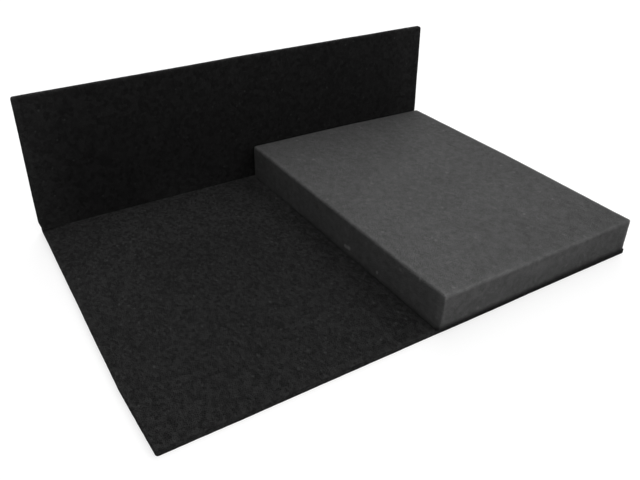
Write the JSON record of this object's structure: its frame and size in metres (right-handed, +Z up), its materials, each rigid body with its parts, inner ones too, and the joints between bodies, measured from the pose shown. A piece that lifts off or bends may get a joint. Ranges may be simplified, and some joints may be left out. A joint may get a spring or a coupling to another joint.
{
  "type": "pick and pluck foam insert",
  "caption": "Case insert of flat foam: a thin dark base sheet, a thin upright panel along its rear edge and a thick grey open-cell block over its right-hand half.",
  "frame": {"origin": "middle of the underside of the base sheet", "axes": "+Z up, +X along the long edge towards the block, +Y from the open front edge towards the upright panel"},
  "size_m": [0.432, 0.305, 0.132],
  "materials": {
    "base_foam": "matte, finely grained black foam sheet",
    "panel_foam": "matte, smooth black foam sheet",
    "block_foam": "matte, open-cell charcoal grey foam"
  },
  "bodies": {
    "root": {"base_sheet": "base_foam", "back_panel": "panel_foam", "foam_block": "block_foam"}
  },
  "joints": []
}
